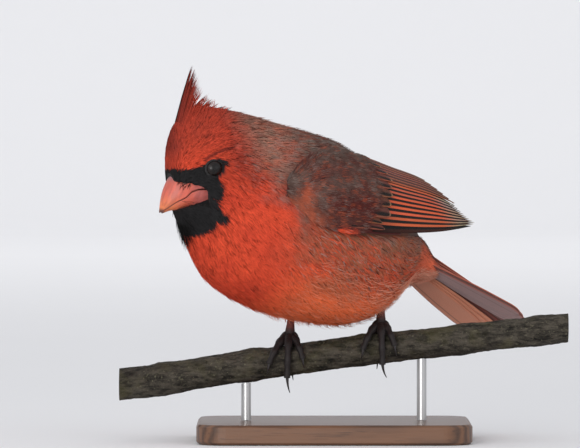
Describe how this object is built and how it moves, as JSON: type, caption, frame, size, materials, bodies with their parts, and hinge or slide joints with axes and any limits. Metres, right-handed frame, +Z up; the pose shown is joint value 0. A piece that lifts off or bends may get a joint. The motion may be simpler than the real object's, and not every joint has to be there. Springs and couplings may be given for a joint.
{
  "type": "bird model",
  "caption": "Life-size museum-style model of a male northern cardinal gripping a cut length of branch, on a plain wooden base with short steel rods.",
  "frame": {"origin": "Centre of the underside of the stand's base, which rests on the floor.", "axes": "X runs along the branch, with the bird facing -X and turned about 25 degrees towards -Y. Z is up."},
  "size_m": [0.184, 0.0936, 0.1543],
  "materials": {
    "plumage": "soft matt feathers, red in front and grey-brown over the back",
    "flight_feathers": "matt vanes, dark within and red along the edges",
    "bill": "smooth horn with a soft sheen",
    "eye": "wet gloss, almost black",
    "foot_scale": "dull scaly skin",
    "claw": "dark horn with a slight sheen",
    "bark": "rough dry bark",
    "stand_wood": "satin stained wood",
    "stand_steel": "brushed"
  },
  "bodies": {
    "root": {"head": "plumage", "neck": "plumage", "torso": "plumage", "rump": "plumage", "wing_left": "flight_feathers", "wing_right": "flight_feathers", "tail": "flight_feathers", "bill_upper": "bill", "bill_lower": "bill", "eye_left": "eye", "eye_right": "eye", "leg_left": "foot_scale", "leg_right": "foot_scale", "claw_left_1": "claw", "claw_left_2": "claw", "claw_left_3": "claw", "claw_left_4": "claw", "claw_right_1": "claw", "claw_right_2": "claw", "claw_right_3": "claw", "claw_right_4": "claw", "perch": "bark", "stand_base": "stand_wood", "stand_rod_1": "stand_steel", "stand_rod_2": "stand_steel"}
  },
  "joints": []
}
